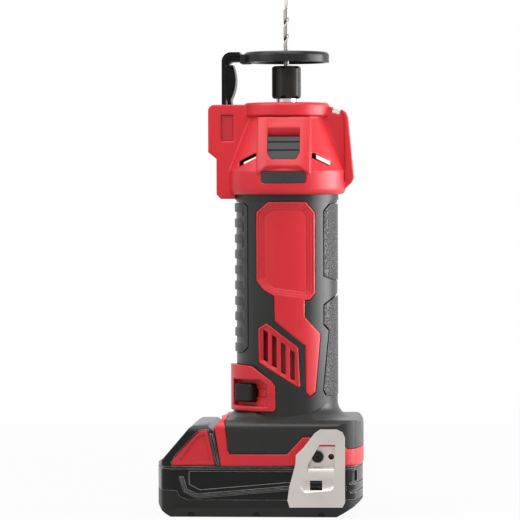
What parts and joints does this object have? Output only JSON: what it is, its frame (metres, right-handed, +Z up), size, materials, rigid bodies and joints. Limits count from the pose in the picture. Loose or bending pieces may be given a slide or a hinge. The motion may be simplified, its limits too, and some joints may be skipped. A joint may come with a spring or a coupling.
{
  "type": "drywall cut out tool",
  "caption": "Cordless drywall cut out tool with red clamshell body, dark soft grips, depth guide with round foot, spiral bit, steel belt hook and a slide-on battery pack",
  "frame": {"origin": "on the spindle axis, in the plane of the battery's flat underside", "axes": "+Z up along the spindle to the bit's tip, -X towards the battery latch and depth arm, -Y the pictured side with the belt hook"},
  "size_m": [0.12, 0.0825, 0.3],
  "materials": {
    "red_shell": "satin moulded",
    "soft_grip": "soft matte overmold",
    "gray_plastic": "satin",
    "black_plastic": "satin black",
    "gloss_black": "glossy black",
    "case_gray": "fine textured",
    "black_steel": "black oxide",
    "bright_steel": "ground",
    "hook_steel": "satin plated",
    "core_steel": "laminated",
    "copper": "bare copper",
    "brass": "bare",
    "carbon": "pressed carbon",
    "ferrite": "sintered",
    "white_plastic": "natural nylon",
    "lens_clear": "frosted",
    "board_green": "solder mask",
    "wire_red": "insulation",
    "cell_sleeve": "shrink sleeve"
  },
  "bodies": {
    "tool": {"housing_near": "red_shell", "housing_far": "red_shell", "nose_housing": "red_shell", "overmold_near": "soft_grip", "overmold_far": "soft_grip", "front_grips": "soft_grip", "rear_grips": "soft_grip", "nose_pad": "gray_plastic", "switch_module": "black_plastic", "terminal_block": "black_plastic", "brush_plate": "black_plastic", "hook_screw": "black_steel", "housing_screws": "black_steel", "lock_spring": "bright_steel", "front_bearing_outer": "bright_steel", "rear_bearing_outer": "bright_steel", "brush_springs": "bright_steel", "lever_pin": "bright_steel", "belt_hook": "hook_steel", "motor_can": "core_steel", "brush_holders": "brass", "terminal_blades": "brass", "hook_inserts": "brass", "carbon_brushes": "carbon", "field_magnets": "ferrite", "lamp_lens": "lens_clear", "control_board": "board_green", "lead_wires": "wire_red"},
    "spindle": {"motor_shaft": "bright_steel", "lock_collar": "bright_steel", "spindle_nose": "bright_steel", "collet": "bright_steel", "armature_core": "core_steel", "armature_windings": "copper", "commutator": "copper", "cooling_fan": "white_plastic", "front_bearing_inner": "bright_steel", "rear_bearing_inner": "bright_steel"},
    "nut": {"collet_nut": "black_steel"},
    "bit": {"cutting_bit": "bright_steel"},
    "front_balls": {"front_bearing_balls": "bright_steel"},
    "rear_balls": {"rear_bearing_balls": "bright_steel"},
    "guide": {"depth_foot": "black_plastic", "depth_arm": "black_steel", "foot_screws": "black_steel"},
    "lever": {"guide_lever": "black_plastic"},
    "lock": {"lock_button": "gray_plastic", "lock_pin": "bright_steel"},
    "switch": {"switch_slider": "black_plastic"},
    "battery": {"battery_lower_case": "case_gray", "battery_upper_case": "gloss_black", "battery_cells": "cell_sleeve", "cell_holders": "white_plastic", "battery_board": "board_green", "battery_contacts": "brass", "latch_springs": "bright_steel"},
    "near_latch": {"latch_near": "red_shell"},
    "far_latch": {"latch_far": "red_shell"}
  },
  "joints": [
    {"name": "spindle_spin", "type": "hinge", "parent": "tool", "child": "spindle", "pos_m": [0, 0, 0.2], "axis": [0, 0, 1], "continuous": true},
    {"name": "nut_turn", "type": "hinge", "parent": "spindle", "child": "nut", "pos_m": [0, 0, 0.25], "axis": [0, 0, 1], "range_deg": [0, 360]},
    {"name": "bit_slide", "type": "slide", "parent": "spindle", "child": "bit", "axis": [0, 0, 1], "range_m": [0, 0.04]},
    {"name": "front_balls_roll", "type": "hinge", "parent": "tool", "child": "front_balls", "pos_m": [0, 0, 0.2295], "axis": [0, 0, 1], "continuous": true},
    {"name": "rear_balls_roll", "type": "hinge", "parent": "tool", "child": "rear_balls", "pos_m": [0, 0, 0.108], "axis": [0, 0, 1], "continuous": true},
    {"name": "guide_slide", "type": "slide", "parent": "tool", "child": "guide", "axis": [0, 0, 1], "range_m": [0, 0.018]},
    {"name": "lever_turn", "type": "hinge", "parent": "tool", "child": "lever", "pos_m": [-0.0327, 0, 0.2344], "axis": [0, 1, 0], "range_deg": [0, 40]},
    {"name": "lock_press", "type": "slide", "parent": "tool", "child": "lock", "axis": [0, 1, 0], "range_m": [0, 0.004], "stiffness_N_per_m": 600, "springref_m": -0.004, "deforming": ["lock_spring"]},
    {"name": "switch_slide", "type": "slide", "parent": "tool", "child": "switch", "axis": [0.7071, -0.7071, 0], "range_m": [0, 0.005]},
    {"name": "battery_slide", "type": "slide", "parent": "tool", "child": "battery", "axis": [-1, 0, 0], "range_m": [0, 0.095]},
    {"name": "near_latch_press", "type": "slide", "parent": "battery", "child": "near_latch", "axis": [0, 1, 0], "range_m": [0, 0.0025], "stiffness_N_per_m": 800, "springref_m": -0.003, "deforming": ["latch_springs"]},
    {"name": "far_latch_press", "type": "slide", "parent": "battery", "child": "far_latch", "axis": [0, -1, 0], "range_m": [0, 0.0025], "stiffness_N_per_m": 800, "springref_m": -0.003, "deforming": ["latch_springs"]}
  ],
  "couplings": [
    {"joint": "front_balls_roll", "follows": "spindle_spin", "ratio": 0.37},
    {"joint": "rear_balls_roll", "follows": "spindle_spin", "ratio": 0.37}
  ]
}
